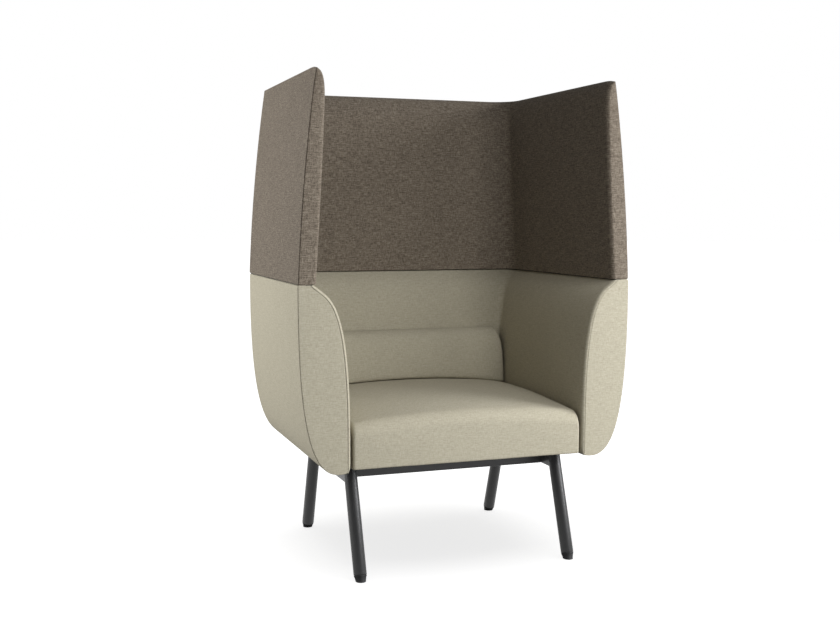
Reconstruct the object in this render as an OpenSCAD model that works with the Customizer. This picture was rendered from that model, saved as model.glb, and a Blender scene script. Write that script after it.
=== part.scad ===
// High back lounge chair with an acoustic screen.
// +Z is up, -Y is the open front, and the origin is on the floor under the middle of the chair.

/* [Overall] */
// Width over the shell, at the seam below the screen
chair_w = 900; // [800:5:1000]
// Depth from the arm fronts to the back of the shell
chair_d = 714; // [680:2:780]
// Height of the seam between shell and screen
seam_h = 750; // [730:2:800]
// Height of the ridge along the top of the screen
screen_top_h = 1278; // [1200:2:1400]

/* [Shell] */
// Thickness of an arm at the seam
rim_t = 41; // [36:1:50]
// Thickness of the back at the seam
back_t = 64; // [58:1:72]
// Width of an arm from its outside to its inner face at the seat
arm_w = 126; // [110:1:140]
// Height of the lowest line of the shell
keel_z = 280; // [270:1:286]
// Distance of the lowest line from the inner face of its arm
keel_in = 25; // [20:1:32]
// Height over which the shell's underside turns up to the inner face
keel_rise = 24; // [20:1:30]
// Reach of the outer curve down from the seam
belly_reach = 320; // [280:2:340]
// Reach of the outer curve out from the lowest line
keel_reach = 70; // [60:1:80]
// Height above the lowest line where the inner face starts to flare
flare_rise = 98; // [90:1:110]
// Reach of the inner curve up from there
flare_reach = 362; // [340:2:370]
// How far the inner curve's upper handle lies inside the rim
flare_in = 10; // [6:1:14]
// How far that handle lies below the seam
flare_drop = 37; // [30:1:44]
// How far the inner faces turn about centres inside them, and so the inner corners' least radius
corner_in = 2; // [1:0.5:8]
// How far the outer corners turn about centres outside the inner faces
corner_out = 1; // [0.5:0.5:6]
// Thickness of the outer cover
cover_t = 5; // [4:0.5:6]
// Thickness of the moulded plywood panels
panel_t = 12; // [9:0.5:13]
// Thickness of the padding on the inner faces
pad_t = 14; // [12:0.5:15]
// Thickness of the padded front panels of the arms
front_pad_t = 12; // [10:0.5:14]
// Height of the timber rails in the shell
rail_board_h = 26; // [22:1:28]
// Width of the timber rails at the foot of the shell
foot_rail_w = 28; // [24:1:30]
// Clearance between pieces that lie against each other
fit_gap = 0.3; // [0.2:0.05:0.5]

/* [Screen] */
// Height of the dark joint between shell and screen
seam_gap = 3; // [2:0.5:5]
// How far the ridge leans in from the seam
screen_lean = 48; // [36:1:56]
// Width of the flat along the ridge
ridge_flat = 2; // [1:0.5:4]
// Width of the rounding inside the ridge
ridge_round_w = 16; // [12:0.5:18]
// Height of the rounding inside the ridge
ridge_round_h = 74; // [60:1:84]
// How far the inner face is hollowed between seam and rounding
screen_hollow = 8; // [4:0.5:9]
// Depth of the screen board under its outer cover
board_in = 7; // [6:0.5:8]
// Thickness of the screen board
board_t = 14; // [12:0.5:15]
// How far the joint strip lies inside the faces
strip_in = 6; // [4:0.5:9]
// Diameter of the steel dowels between shell and screen
dowel_d = 8; // [6:0.5:9]
// Length of the dowels
dowel_l = 44; // [36:1:48]

/* [Seat] */
// Gap between the seat cushion and an arm
seat_gap = 7; // [4:0.5:10]
// Height of the underside of the seat
seat_z = 287.5; // [284:0.5:296]
// Height of the seat cushion's edge at the back
seat_edge_z = 416; // [400:1:430]
// Rise of the crown above the edge
seat_crown = 20; // [12:1:26]
// Fall of the edge from back to front
seat_fall = 18; // [10:1:24]
// Radius of the front edge
seat_front_r = 35; // [28:1:40]
// Radius of the side edges
seat_side_r = 16; // [12:1:18]
// How far the front face draws in at its foot
seat_tuck = 4; // [2:0.5:6]
// Thickness of the seat board
seat_board_t = 18; // [15:1:20]
// Thickness of the boards of the seat box
box_t = 20; // [16:1:22]
// Height of the seat box above its board
box_h = 40; // [34:1:44]
// Thickness of the seat cover's walls with their wadding
seat_wall = 13.4; // [12:0.2:15]
// Height of the foam block
foam_h = 38; // [30:1:40]
// Width of the elastic straps
strap_w = 50; // [40:1:60]
// Thickness of the elastic straps
strap_t = 2; // [1.5:0.5:3]
// Number of elastic straps
strap_count = 6; // [4:1:7]

/* [Lumbar cushion] */
// Depth of the cushion at its foot
lumbar_t = 48; // [40:1:54]
// Height of its top above the seat edge
lumbar_h = 166; // [150:1:180]
// Radius of its upper corners
lumbar_r = 30; // [24:1:34]
// Side clearance to the arms
lumbar_gap = 0.6; // [0.4:0.1:1]
// Wadding round the foam core
lumbar_wall = 11; // [9:0.5:13]

/* [Base] */
// Diameter of the leg tubes
leg_d = 33.7; // [30:0.1:36]
// Wall of the leg tubes
leg_wall = 2; // [1.5:0.1:3]
// Splay of the legs, front and back
leg_splay = 19.4; // [16:0.1:20]
// Distance of the legs inside the arms' inner faces
foot_in_x = 32.5; // [26:0.5:44]
// Distance between front and rear feet
foot_gap_y = 543; // [520:1:560]
// Distance of the front feet behind the arm fronts
foot_in = 15; // [14.8:0.1:30]
// Height of the steel frame's top face
frame_z = 283.5; // [276:0.5:290]
// Height of the steel rails
rail_h = 50; // [40:1:56]
// Width of the steel rails
rail_w = 30; // [26:1:32]
// Wall of the steel rails
rail_wall = 2; // [1.5:0.1:3]
// Distance of a cross rail from the leg's axis
cross_in = 51; // [40:1:60]
// Radius of a glide at the floor
glide_foot_r = 13; // [12:0.5:13.5]
// Height of a glide below its tube
glide_h = 16; // [14:0.5:20]
// Length of a glide's stem in its tube
glide_stem = 24; // [18:1:30]
// Side of the welded corner plates
plate_w = 74; // [68:1:80]
// Diameter of the bolts
bolt_d = 8; // [6:0.5:8]

/* [Hidden] */
$fn = 64;

// Colours
fabric_light = [0.72, 0.69, 0.60];
fabric_dark = [0.42, 0.37, 0.32];
steel_dark = [0.16, 0.16, 0.17];
plastic_dark = [0.08, 0.08, 0.08];
zinc = [0.7, 0.71, 0.72];
ply = [0.80, 0.66, 0.46];
foam_grey = [0.88, 0.87, 0.80];
webbing_dark = [0.25, 0.25, 0.27];

// Overrun of every cut
over = 1;

// Planes and sweep centres
half_w = chair_w / 2;
front_y = -chair_d / 2;
back_y = chair_d / 2;
inner_x = half_w - arm_w;
keel_x = inner_x + keel_in;
rim_x = half_w - rim_t;
outer_cx = inner_x + corner_out;
outer_cy = back_y - (half_w - outer_cx);
inner_cx = inner_x - corner_in;
inner_cy = back_y - back_t - (rim_x - inner_cx);
back_shift = (outer_cy - outer_cx) - (inner_cy - inner_cx);
arm_y = front_y + front_pad_t + fit_gap;
curve_steps = 14;
turn_steps = 5;

// Cubic and quadratic curves through their handles
function cubic(a, b, c, d, n) = [for (i = [0:n]) let (t = i / n, s = 1 - t)
    s * s * s * a + 3 * s * s * t * b + 3 * s * t * t * c + t * t * t * d];
function quadratic(a, b, c, n) = [for (i = [0:n]) let (t = i / n, s = 1 - t)
    s * s * a + 2 * s * t * b + t * t * c];
function reversed(list) = [for (i = [len(list) - 1:-1:0]) list[i]];
function from_second(list) = [for (i = [1:len(list) - 1]) list[i]];
function unit(v) = v / norm(v);
// Normal to the right of a direction
function right_of(v) = [v[1], -v[0]];

// An open curve moved to its right by d
function beside(curve, d) = [for (i = [0:len(curve) - 1])
    let (a = curve[max(i - 1, 0)], b = curve[min(i + 1, len(curve) - 1)])
    curve[i] + d * right_of(unit(b - a))];

// A closed clockwise outline drawn in by d, with mitred corners
function drawn_in(outline, d) = [for (i = [0:len(outline) - 1])
    let (n = len(outline),
         m1 = right_of(unit(outline[i] - outline[(i + n - 1) % n])),
         m2 = right_of(unit(outline[(i + 1) % n] - outline[i])))
    outline[i] + d * (m1 + m2) / (1 + m1 * m2)];

// Section of an arm, as x and z: down the outside, round the keel and up the inside
shell_outer = cubic([half_w, seam_h], [half_w, seam_h - belly_reach],
    [keel_x + keel_reach, keel_z], [keel_x, keel_z], curve_steps);
keel_turn = [for (i = [0:turn_steps]) let (a = 90 * i / turn_steps)
    [keel_x - keel_in * sin(a), keel_z + keel_rise * (1 - cos(a))]];
shell_inner = cubic([inner_x, keel_z + flare_rise], [inner_x, keel_z + flare_rise + flare_reach],
    [rim_x - flare_in, seam_h - flare_drop], [rim_x, seam_h], curve_steps);
inner_line = concat([keel_turn[turn_steps]], shell_inner, [[rim_x, seam_h + cover_t]]);
leaf = concat(shell_outer, from_second(keel_turn), shell_inner);

// Width of the seating space at height z, as the distance of the inner line from the middle
function inner_at(z, i = 0) = z <= inner_line[i + 1][1] || i + 2 >= len(inner_line)
    ? let (a = inner_line[i], b = inner_line[i + 1], s = (z - a[1]) / (b[1] - a[1]))
        a[0] + (b[0] - a[0]) * max(0, min(1, s))
    : inner_at(z, i + 1);
function back_inner_y(z) = inner_at(z) - inner_cx + inner_cy;

// Heights inside the shell
pad_foot_z = keel_z + keel_rise;
rim_under_z = seam_h - cover_t;
top_rail_z = rim_under_z - fit_gap - rail_board_h;
foot_rail_z = keel_z + keel_rise - cover_t;
foam_z0 = foot_rail_z + rail_board_h + fit_gap;
foam_z1 = top_rail_z - fit_gap;
core_out = cover_t + fit_gap + panel_t + fit_gap;
pad_back = pad_t + fit_gap;
foot_rail_x = inner_x + pad_back + keel_in / 10;
top_rail_x0 = rim_x + pad_back;
top_rail_x1 = half_w - cover_t - fit_gap;

// Section of the screen: down the outside, in along the foot, up the inside and over the rounding
screen_z = seam_h + seam_gap;
ridge_x = half_w - screen_lean;
bow_share = 0.22;
screen_steps = 9;
ridge_steps = 6;
ridge_in_x = ridge_x - ridge_flat - ridge_round_w;
ridge_low_z = screen_top_h - ridge_round_h;
screen_outer = quadratic([ridge_x, screen_top_h],
    [half_w - screen_lean * bow_share, (screen_z + screen_top_h) / 2], [half_w, screen_z], screen_steps);
screen_inner = quadratic([rim_x, screen_z],
    [(rim_x + ridge_in_x) / 2 - screen_hollow, (screen_z + ridge_low_z) / 2],
    [ridge_in_x, ridge_low_z], screen_steps);
ridge_round = [for (i = [1:ridge_steps]) let (a = 90 * i / ridge_steps)
    [ridge_x - ridge_flat - ridge_round_w * cos(a), ridge_low_z + ridge_round_h * sin(a)]];
screen_leaf = concat(screen_outer, screen_inner, ridge_round);

// Places of the dowels, and of the bolts through the seat box
dowel_x = half_w - (board_in + board_t / 2) - seam_gap / 2;
dowel_inset = dowel_x - outer_cx;
dowel_share_front = 0.12;
dowel_share_rear = 0.8;
dowel_ys = [for (s = [dowel_share_front, dowel_share_rear]) arm_y + (inner_cy - arm_y) * s];
dowel_back_share = 0.6;
dowel_back_x = inner_cx * dowel_back_share;
dowel_z0 = screen_z - dowel_l / 2;
bolt_r = bolt_d / 2;
bolt_head_r = bolt_d * 0.875;
bolt_head_h = bolt_d * 0.55;
spacer_r = bolt_d * 0.9;
seat_half = inner_x - seat_gap;
box_x = seat_half - seat_wall;
box_y0 = front_y + seat_wall;
box_y1 = back_inner_y(seat_z) - fit_gap * 10;
box_z0 = seat_z + seat_board_t;
box_z1 = box_z0 + box_h;
fix_z = foot_rail_z + rail_board_h / 2;
fix_share_front = 0.24;
fix_share_rear = 0.84;
fix_ys = [for (s = [fix_share_front, fix_share_rear]) box_y0 + (box_y1 - box_y0) * s];
fix_back_x = box_x * 0.6;

// Legs and frame
foot_x = inner_x - foot_in_x;
foot_y_front = front_y + foot_in;
foot_y_rear = foot_y_front + foot_gap_y;
leg_r = leg_d / 2;
rail_z = frame_z - rail_h;
rail_mid_z = frame_z - rail_h / 2;
function leg_axis_y(rear, z) = rear
    ? foot_y_rear - z * tan(leg_splay)
    : foot_y_front + z * tan(leg_splay);
cross_front_y = leg_axis_y(false, rail_mid_z) + cross_in;
cross_rear_y = leg_axis_y(true, rail_mid_z) - cross_in - rail_w;
plate_t = seat_z - frame_z;
plate_x = foot_x + rail_w / 2 - plate_w;
hole_in = plate_w * 0.31;
hole_x = plate_x + hole_in;
hole_front_y = cross_front_y + plate_w - hole_in;
hole_rear_y = cross_rear_y + rail_w - plate_w + hole_in;

// Helpers for pieces on both sides, and for the three stretches of the shell
module on_side(side) {
    if (side < 0) mirror([1, 0, 0]) children();
    else children();
}
module both_sides() {
    children();
    mirror([1, 0, 0]) children();
}
module along_y(y0, y1) {
    translate([0, y1, 0]) rotate([90, 0, 0]) linear_extrude(y1 - y0) children();
}
module along_x(x0, x1, cx, cy) {
    translate([x0, cy - cx, 0]) rotate([90, 0, 90]) linear_extrude(x1 - x0) children();
}
module round_corner(cx, cy) {
    translate([cx, cy, 0]) rotate_extrude(angle = 90) translate([-cx, 0]) children();
}
// A section swept round the back about the outer centres, from one arm to the other
module round_back() {
    along_x(-outer_cx, outer_cx, outer_cx, outer_cy) children();
    both_sides() {
        along_y(inner_cy, outer_cy) children();
        round_corner(outer_cx, outer_cy) children();
    }
}
// A section swept round the back about the inner centres
module round_inner_back() {
    along_x(-inner_cx, inner_cx, inner_cx, inner_cy) children();
    both_sides() round_corner(inner_cx, inner_cy) children();
}
module height_band(x0, z0, z1) {
    translate([x0, z0]) square([chair_w, z1 - z0]);
}
// The strip between two lines beside a curve
module band(curve, d0, d1) {
    polygon(concat(beside(curve, d0), reversed(beside(curve, d1))));
}

// Legs: round tubes that splay to the front and to the back
module leg_axis(side, rear) {
    translate([side * foot_x, rear ? foot_y_rear : foot_y_front, 0])
        rotate([rear ? leg_splay : -leg_splay, 0, 0]) children();
}
module leg(side, rear) {
    color(steel_dark) intersection() {
        leg_axis(side, rear) difference() {
            translate([0, 0, glide_h]) cylinder(r = leg_r, h = frame_z * 2);
            cylinder(r = leg_r - leg_wall, h = frame_z * 3);
        }
        translate([-half_w, front_y, 0]) cube([chair_w, chair_d, frame_z]);
    }
}
// Glides: tapered feet with a stem that is pressed into the tube
module glide(side, rear) {
    color(plastic_dark) intersection() {
        leg_axis(side, rear) {
            translate([0, 0, -glide_h]) cylinder(r = glide_foot_r, h = glide_h);
            cylinder(r1 = glide_foot_r, r2 = leg_r - leg_wall / 4, h = glide_h);
            translate([0, 0, glide_h]) cylinder(r = leg_r - leg_wall, h = glide_stem);
        }
        translate([-half_w, front_y, 0]) cube([chair_w, chair_d, frame_z]);
    }
}

// Rails: rectangular tubes, the side rails coped round the legs
module leg_space(side) {
    for (rear = [false, true]) leg_axis(side, rear) cylinder(r = leg_r, h = frame_z * 2);
}
module side_rail(side) {
    y0 = leg_axis_y(false, rail_mid_z);
    y1 = leg_axis_y(true, rail_mid_z);
    slope = rail_h * tan(leg_splay) / 2;
    color(steel_dark) difference() {
        along_x(side * foot_x - rail_w / 2, side * foot_x + rail_w / 2, 0, 0)
            polygon([[y0 - slope, rail_z], [y0 + slope, frame_z], [y1 - slope, frame_z], [y1 + slope, rail_z]]);
        translate([side * foot_x - rail_w / 2 + rail_wall, y0 - leg_d, rail_z + rail_wall])
            cube([rail_w - 2 * rail_wall, y1 - y0 + 2 * leg_d, rail_h - 2 * rail_wall]);
        leg_space(side);
    }
}
module cross_rail(y) {
    span = 2 * foot_x - rail_w;
    color(steel_dark) difference() {
        translate([-span / 2, y, rail_z]) cube([span, rail_w, rail_h]);
        translate([-span / 2 - over, y + rail_wall, rail_z + rail_wall])
            cube([span + 2 * over, rail_w - 2 * rail_wall, rail_h - 2 * rail_wall]);
    }
}

// Corner plates of the frame, with a bolt, a washer and a tee nut at each
module at_plate_holes() {
    for (x = [-hole_x, hole_x], y = [hole_front_y, hole_rear_y]) translate([x, y, 0]) children();
}
module corner_plates() {
    color(steel_dark) difference() {
        both_sides() {
            translate([plate_x, cross_front_y, frame_z]) cube([plate_w, plate_w, plate_t]);
            translate([plate_x, cross_rear_y + rail_w - plate_w, frame_z]) cube([plate_w, plate_w, plate_t]);
        }
        at_plate_holes() translate([0, 0, frame_z - over]) cylinder(r = bolt_r + fit_gap, h = plate_t + 2 * over);
    }
}
washer_t = bolt_d / 5;
module frame_bolts() {
    color(zinc) at_plate_holes() {
        translate([0, 0, frame_z - washer_t - bolt_head_h]) cylinder(r = bolt_head_r, h = bolt_head_h);
        translate([0, 0, frame_z - washer_t]) cylinder(r = bolt_r, h = washer_t + plate_t + seat_board_t);
    }
}
module frame_washers() {
    color(zinc) at_plate_holes() translate([0, 0, frame_z - washer_t]) difference() {
        cylinder(r = bolt_head_r * 1.2, h = washer_t);
        translate([0, 0, -over]) cylinder(r = bolt_r + fit_gap, h = washer_t + 2 * over);
    }
}
tee_barrel_r = bolt_r * 1.3;
tee_flange_t = bolt_d / 5;
module frame_tee_nuts() {
    color(zinc) at_plate_holes() translate([0, 0, box_z0]) difference() {
        union() {
            translate([0, 0, -seat_board_t * 0.6]) cylinder(r = tee_barrel_r, h = seat_board_t * 0.6);
            cylinder(r = tee_barrel_r * 2, h = tee_flange_t);
        }
        translate([0, 0, -seat_board_t]) cylinder(r = bolt_r + fit_gap / 3, h = seat_board_t * 2);
    }
}

// Seat box: a board with four upright boards, straps across it, and a foam block on top
module seat_board() {
    color(ply) difference() {
        translate([-box_x + fit_gap, box_y0 + fit_gap, seat_z])
            cube([2 * (box_x - fit_gap), box_y1 - box_y0 - fit_gap, seat_board_t]);
        at_plate_holes() translate([0, 0, seat_z - over])
            cylinder(r = tee_barrel_r + fit_gap / 3, h = seat_board_t + 2 * over);
    }
}
module fix_bores(r, x0, x1) {
    both_sides() for (y = fix_ys) translate([x0, y, fix_z]) rotate([0, 90, 0]) cylinder(r = r, h = x1 - x0);
}
module fix_bores_back(r, y0, y1) {
    both_sides() translate([fix_back_x, y1, fix_z]) rotate([90, 0, 0]) cylinder(r = r, h = y1 - y0);
}
box_in_x = box_x - fit_gap - box_t;
module seat_box_end(y) {
    color(ply) difference() {
        translate([-box_x + fit_gap, y, box_z0]) cube([2 * (box_x - fit_gap), box_t, box_h]);
        fix_bores_back(bolt_r + fit_gap, y - over, y + box_t + over);
    }
}
module seat_box_front() {
    color(ply) translate([-box_x + fit_gap, box_y0 + fit_gap, box_z0])
        cube([2 * (box_x - fit_gap), box_t, box_h]);
}
module seat_box_rear() { seat_box_end(box_y1 - box_t); }
module seat_box_side(side) {
    color(ply) on_side(side) difference() {
        translate([box_in_x, box_y0 + fit_gap + box_t, box_z0])
            cube([box_t, box_y1 - box_y0 - 2 * box_t - fit_gap, box_h]);
        fix_bores(bolt_r + fit_gap, box_in_x - over, box_x + over);
    }
}
module seat_webbing() {
    pitch = (box_y1 - box_y0 - 2 * box_t) / strap_count;
    color(webbing_dark) for (i = [0:strap_count - 1])
        translate([-box_x + fit_gap, box_y0 + box_t + (i + 1 / 2) * pitch - strap_w / 2, box_z1])
            cube([2 * (box_x - fit_gap), strap_w, strap_t]);
}
foam_z = box_z1 + strap_t + fit_gap;
module seat_foam() {
    color(foam_grey) translate([-box_x + fit_gap, box_y0 + fit_gap, foam_z])
        cube([2 * (box_x - fit_gap), box_y1 - box_y0 - fit_gap, foam_h]);
}

// Height of the seat's top. across runs from -1 to 1, along from 0 at the front to 1 at the back.
seat_rear_y = box_y1;
function seat_top(across, along) = seat_edge_z - seat_fall * pow(1 - along, 2)
    + seat_crown * (1 - across * across);
// How far a rounded end is drawn in at distance e from it
function end_in(e, r) = e >= r ? 0 : r - sqrt(r * r - (r - e) * (r - e));
// Stations of a rounded form across its width, closer together at its ends
function stations(half, r, steps, end_steps) = concat(
    [for (i = [0:end_steps - 1]) -half + r * (1 - cos(90 * i / end_steps))],
    [for (i = [0:steps]) -half + r + (2 * half - 2 * r) * i / steps],
    [for (i = [end_steps - 1:-1:0]) half - r * (1 - cos(90 * i / end_steps))]);
// Faces of rings of points that follow each other, closed at both ends
function ring_faces(rings, count) = concat(
    [for (i = [0:rings - 2], j = [0:count - 1])
        [i * count + j, (i + 1) * count + j, (i + 1) * count + (j + 1) % count]],
    [for (i = [0:rings - 2], j = [0:count - 1])
        [i * count + j, (i + 1) * count + (j + 1) % count, i * count + (j + 1) % count]],
    [for (j = [1:count - 2]) [0, j, j + 1]],
    [for (j = [1:count - 2]) (rings - 1) * count * [1, 1, 1] + [0, j + 1, j]]);
module form(rings) {
    points = [for (ring = rings, p = ring) p];
    polyhedron(points, ring_faces(len(rings), len(rings[0])));
}

front_steps = 2;
edge_steps = 4;
top_steps = 6;
function seat_ring(x) =
    let (half = seat_half,
         q = end_in(half - abs(x), seat_side_r),
         u = x / half,
         r = seat_front_r,
         y0 = front_y + q,
         deep = seat_rear_y - y0,
         edge_z = seat_top(u, r / deep) - q,
         front = [for (i = [0:front_steps]) let (s = i / front_steps)
             [x, y0 + seat_tuck * pow(1 - s, 2), seat_z + (edge_z - r - seat_z) * s]],
         edge = [for (i = [1:edge_steps]) let (a = 90 * i / edge_steps)
             [x, y0 + r * (1 - cos(a)), edge_z - r * (1 - sin(a))]],
         top = [for (i = [1:top_steps]) let (s = i / top_steps, y = y0 + r + (deep - r) * s)
             [x, y, seat_top(u, (y - y0) / deep) - q]])
    concat([[x, seat_rear_y, seat_z]], front, edge, top);
seat_across_steps = 12;
seat_end_steps = 3;
module seat_cushion() {
    color(fabric_light) difference() {
        form([for (x = stations(seat_half, seat_side_r, seat_across_steps, seat_end_steps)) seat_ring(x)]);
        translate([-box_x, box_y0, seat_z - over])
            cube([2 * box_x, box_y1 - box_y0 + over, foam_z + foam_h + fit_gap - seat_z + over]);
        both_sides() for (y = fix_ys) translate([box_x - over, y - spacer_r - fit_gap, seat_z - over])
            cube([seat_wall + 2 * over, 2 * (spacer_r + fit_gap), fix_z + spacer_r + fit_gap - seat_z + over]);
    }
}

// Lumbar cushion: a wedge that lies on the seat and against the back, with a rolled top
lumbar_half = inner_x - lumbar_gap;
lumbar_front_y = back_inner_y(seat_edge_z) - lumbar_t;
lumbar_top_z = seat_edge_z + lumbar_h;
roll_share = 0.05;
face_share = 0.06;
corner_fall = 2.8;
lumbar_steps = 8;
function lumbar_ring(x) =
    let (q = end_in(lumbar_half - abs(x), lumbar_r),
         z0 = seat_top(x / seat_half, 1) + fit_gap,
         z1 = lumbar_top_z - q,
         foot = [lumbar_front_y, z0],
         handle = [lumbar_front_y - lumbar_t * face_share + q / 5, lumbar_top_z + lumbar_h * roll_share - corner_fall * q],
         head = [back_inner_y(z1) - 2 * fit_gap, z1],
         face = quadratic(foot, handle, head, lumbar_steps),
         rear = [for (i = [1:lumbar_steps]) let (z = z1 + (z0 - z1) * i / lumbar_steps)
             [back_inner_y(z) - fit_gap, z]])
    [for (p = concat(face, rear)) [x, p[0], p[1]]];
module lumbar_cushion() {
    color(fabric_light) difference() {
        form([for (x = stations(lumbar_half, lumbar_r, seat_across_steps, seat_end_steps)) lumbar_ring(x)]);
        lumbar_core(fit_gap);
    }
}
module lumbar_core(grow) {
    x1 = lumbar_half - 2 * lumbar_wall + grow;
    z0 = seat_edge_z + seat_crown + lumbar_wall - grow;
    z1 = lumbar_top_z - 3 * lumbar_wall + grow;
    y1 = back_inner_y(z0) - lumbar_wall / 2 + grow;
    y0 = lumbar_front_y + 1.2 * lumbar_wall - grow;
    slope = lumbar_wall * 1.4;
    along_x(-x1, x1, 0, 0) polygon([[y0, z0], [y0 + slope, z1], [y1, z1], [y1, z0]]);
}
module lumbar_foam() { color(foam_grey) lumbar_core(0); }

// Arms: plywood panel, foam, timber rails, outer cover, inner pad and front panel
module pad_section() {
    intersection() {
        band(inner_line, 0, pad_t);
        height_band(0, pad_foot_z, rim_under_z);
    }
}
module cover_section() {
    difference() {
        polygon(leaf);
        polygon(drawn_in(leaf, cover_t));
        pad_section();
    }
}
module panel_section() {
    intersection() {
        band(shell_outer, cover_t + fit_gap, cover_t + fit_gap + panel_t);
        height_band(0, foam_z0, foam_z1);
    }
}
module foam_section(shift) {
    intersection() {
        polygon(concat(beside(shell_outer, core_out),
            [for (p = beside(inner_line, pad_back)) p - [shift, 0]]));
        height_band(0, foam_z0, foam_z1);
    }
}
module top_rail_section() {
    translate([top_rail_x0, top_rail_z]) square([top_rail_x1 - top_rail_x0, rail_board_h]);
}
module foot_rail_section() {
    translate([foot_rail_x, foot_rail_z]) square([foot_rail_w, rail_board_h]);
}
module dowel_bores(r, z0, z1) {
    both_sides() {
        for (y = dowel_ys) translate([dowel_x, y, z0]) cylinder(r = r, h = z1 - z0);
        translate([dowel_back_x, outer_cy + dowel_inset, z0]) cylinder(r = r, h = z1 - z0);
    }
}
module all_dowel_bores() {
    dowel_bores(dowel_d / 2 + fit_gap / 3, dowel_z0, dowel_z0 + dowel_l + fit_gap);
}
module arm_panel(side) {
    color(ply) on_side(side) along_y(arm_y, inner_cy) panel_section();
}
module arm_foam(side) {
    color(foam_grey) on_side(side) along_y(arm_y, inner_cy) foam_section(0);
}
module arm_top_rail(side) {
    color(ply) on_side(side) difference() {
        along_y(arm_y, inner_cy) top_rail_section();
        all_dowel_bores();
    }
}
module arm_foot_rail(side) {
    color(ply) on_side(side) difference() {
        along_y(arm_y, inner_cy) foot_rail_section();
        fix_bores(bolt_r + fit_gap, foot_rail_x - over, foot_rail_x + foot_rail_w + over);
    }
}
module arm_cover(side) {
    color(fabric_light) on_side(side) difference() {
        along_y(arm_y, inner_cy) cover_section();
        all_dowel_bores();
    }
}
module arm_pad(side) {
    color(fabric_light) on_side(side) difference() {
        along_y(arm_y, inner_cy) pad_section();
        fix_bores(spacer_r + fit_gap, inner_x - over, foot_rail_x);
    }
}
module arm_front(side) {
    color(fabric_light) on_side(side) along_y(front_y, front_y + front_pad_t) polygon(leaf);
}

// Back: the same layers, turned round both back corners
// Where a curve's stretch from a to b crosses z0 or z1, and the curve between these heights
function crossings(a, b, z0, z1) = [for (z = a[1] < b[1] ? [z0, z1] : [z1, z0])
    if ((a[1] - z) * (b[1] - z) < 0) a + (b - a) * (z - a[1]) / (b[1] - a[1])];
function between(curve, z0, z1) = [for (i = [0:len(curve) - 1])
    each concat(i > 0 ? crossings(curve[i - 1], curve[i], z0, z1) : [],
        curve[i][1] >= z0 && curve[i][1] <= z1 ? [curve[i]] : [])];
// Everything between a line at x0 and a curve, in a band of heights
module inside_of(curve, x0, z0, z1) {
    part = between(curve, z0, z1);
    polygon(concat([[x0, part[0][1]]], part, [[x0, part[len(part) - 1][1]]]));
}
module back_panel() { color(ply) round_back() panel_section(); }
module back_top_rail() {
    color(ply) difference() {
        round_back() top_rail_section();
        all_dowel_bores();
    }
}
module back_foam() {
    color(foam_grey) along_x(-inner_cx, inner_cx, outer_cx, outer_cy) foam_section(back_shift);
}
back_rail_x = foot_rail_x - back_shift;
module back_foot_rail() {
    color(ply) difference() {
        along_x(-inner_cx, inner_cx, outer_cx, outer_cy) translate([-back_shift, 0]) foot_rail_section();
        fix_bores_back(bolt_r + fit_gap, inner_cy, back_y);
    }
}
space_line = concat([[keel_x, keel_z - over]], keel_turn, shell_inner, [[rim_x, seam_h + over]]);
// A body between the outer sweep, drawn in by d, and the inner sweep, grown by d
module back_body(d) {
    difference() {
        round_back() inside_of(beside(shell_outer, d), outer_cx, keel_z + d, seam_h - d);
        round_inner_back() inside_of(beside(space_line, d), inner_cx, 0, seam_h + over);
    }
}
module back_cover() {
    color(fabric_light) difference() {
        back_body(0);
        back_body(cover_t);
        round_inner_back() inside_of(beside(inner_line, pad_t), inner_cx, pad_foot_z, rim_under_z);
        all_dowel_bores();
    }
}
module back_pad() {
    color(fabric_light) difference() {
        round_inner_back() pad_section();
        fix_bores_back(spacer_r + fit_gap, inner_cy, back_y);
    }
}

// Spacers and bolts that hold the shell to the seat box
spacer_x0 = box_x - fit_gap;
spacer_x1 = foot_rail_x;
spacer_y0 = box_y1;
spacer_y1 = back_rail_x - outer_cx + outer_cy;
module spacer(l) {
    difference() {
        cylinder(r = spacer_r, h = l);
        translate([0, 0, -over]) cylinder(r = bolt_r + fit_gap, h = l + 2 * over);
    }
}
module shell_spacers() {
    color(zinc) both_sides() {
        for (y = fix_ys) translate([spacer_x0, y, fix_z]) rotate([0, 90, 0]) spacer(spacer_x1 - spacer_x0);
        translate([fix_back_x, spacer_y1, fix_z]) rotate([90, 0, 0]) spacer(spacer_y1 - spacer_y0);
    }
}
module fix_bolt(l) {
    cylinder(r = bolt_r, h = l);
    translate([0, 0, -bolt_head_h]) cylinder(r = bolt_head_r, h = bolt_head_h);
}
bolt_bite = foot_rail_w * 0.8;
module shell_bolts() {
    color(zinc) both_sides() {
        for (y = fix_ys) translate([box_in_x, y, fix_z]) rotate([0, 90, 0])
            fix_bolt(spacer_x1 + bolt_bite - box_in_x);
        translate([fix_back_x, box_y1 - box_t, fix_z]) rotate([-90, 0, 0])
            fix_bolt(spacer_y1 + bolt_bite - box_y1 + box_t);
    }
}

// Joint strip and dowels between shell and screen
module strip_section() {
    translate([rim_x + strip_in, seam_h]) square([rim_t - 2 * strip_in, seam_gap]);
}
module seam_strip() {
    color(plastic_dark) difference() {
        union() {
            round_back() strip_section();
            both_sides() along_y(front_y + strip_in, inner_cy) strip_section();
        }
        all_dowel_bores();
    }
}
module screen_dowels() { color(zinc) dowel_bores(dowel_d / 2, dowel_z0, dowel_z0 + dowel_l); }

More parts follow.
